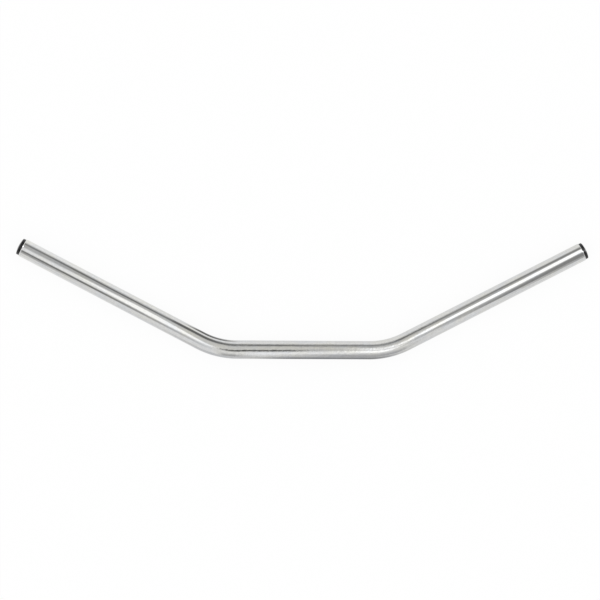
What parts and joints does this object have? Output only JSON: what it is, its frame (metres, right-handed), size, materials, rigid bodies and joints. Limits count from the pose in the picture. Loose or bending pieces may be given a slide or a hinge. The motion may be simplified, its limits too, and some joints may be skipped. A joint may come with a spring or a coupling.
{
  "type": "drag handlebar",
  "caption": "Flat drag handlebar: one chromed round tube with a straight clamp section, two bends and straight arms, each cut end closed by a black push-in plug.",
  "frame": {"origin": "middle of the straight clamp section, on the tube's centre line", "axes": "+X along the clamp section, +Y the way the arms turn back, +Z out of the plane of the bends, up from the surface that the bar lies on"},
  "size_m": [0.6918, 0.1427, 0.0222],
  "materials": {
    "chromed_tube": "polished chrome plate with a faint mottle along the clamp section",
    "black_plug": "moulded black plastic, semi-gloss"
  },
  "bodies": {
    "root": {"handlebar_tube": "chromed_tube", "left_end_plug": "black_plug", "right_end_plug": "black_plug"}
  },
  "joints": []
}
